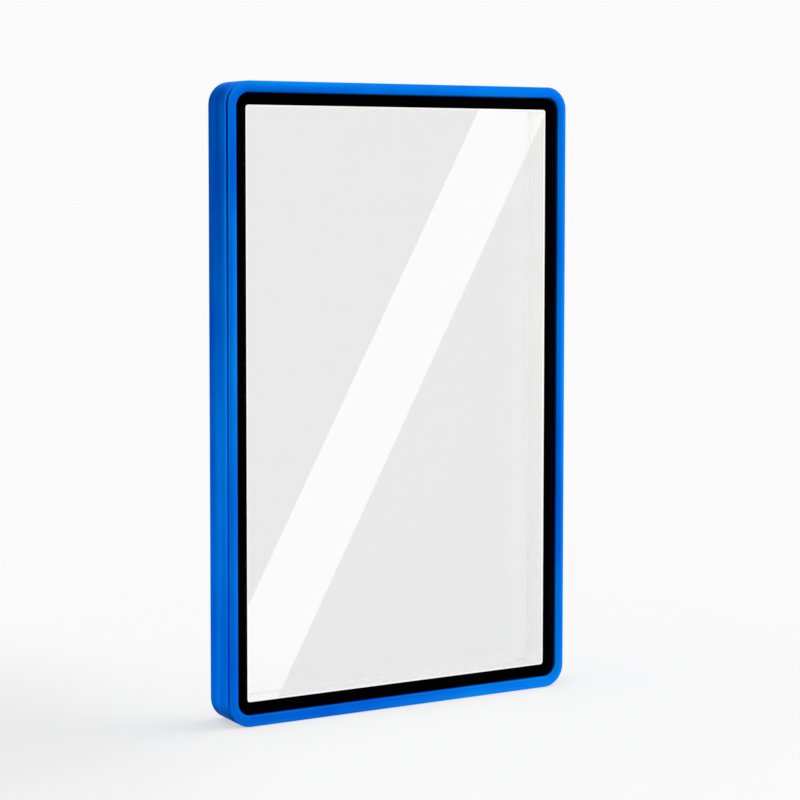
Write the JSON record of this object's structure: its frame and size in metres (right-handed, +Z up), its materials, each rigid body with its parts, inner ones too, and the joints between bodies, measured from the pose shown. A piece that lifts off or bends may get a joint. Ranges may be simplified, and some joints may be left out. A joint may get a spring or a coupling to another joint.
{
  "type": "trading card display case",
  "caption": "Slim upright case with two glass windows in metal frames that close by magnets round a lined pocket for a graded card slab.",
  "frame": {"origin": "on the ground, under the middle of the case as it stands on its short bottom edge", "axes": "+Z up along the long side, -Y forwards out of the front window, +X to the right seen from the front"},
  "size_m": [0.091, 0.0112, 0.1475],
  "materials": {
    "anodised_aluminium": "satin azure anodised",
    "clear_glass": "polished",
    "black_film": "gloss black behind glass",
    "adhesive": "black acrylic foam",
    "silicone": "matt pale grey",
    "plated_magnet": "nickel plated"
  },
  "bodies": {
    "root": {"rear_frame": "anodised_aluminium", "rear_window": "clear_glass", "rear_border": "black_film", "rear_tape": "adhesive", "rear_liner": "silicone", "rear_magnet_1": "plated_magnet", "rear_magnet_2": "plated_magnet", "rear_magnet_3": "plated_magnet", "rear_magnet_4": "plated_magnet", "rear_magnet_5": "plated_magnet", "rear_magnet_6": "plated_magnet", "rear_magnet_7": "plated_magnet", "rear_magnet_8": "plated_magnet"},
    "front_cover": {"front_frame": "anodised_aluminium", "front_window": "clear_glass", "front_border": "black_film", "front_tape": "adhesive", "front_gasket": "silicone", "front_magnet_1": "plated_magnet", "front_magnet_2": "plated_magnet", "front_magnet_3": "plated_magnet", "front_magnet_4": "plated_magnet", "front_magnet_5": "plated_magnet", "front_magnet_6": "plated_magnet", "front_magnet_7": "plated_magnet", "front_magnet_8": "plated_magnet"}
  },
  "joints": [
    {"name": "cover_lift", "type": "slide", "parent": "root", "child": "front_cover", "axis": [0, -1, 0], "range_m": [0, 0.04]}
  ]
}
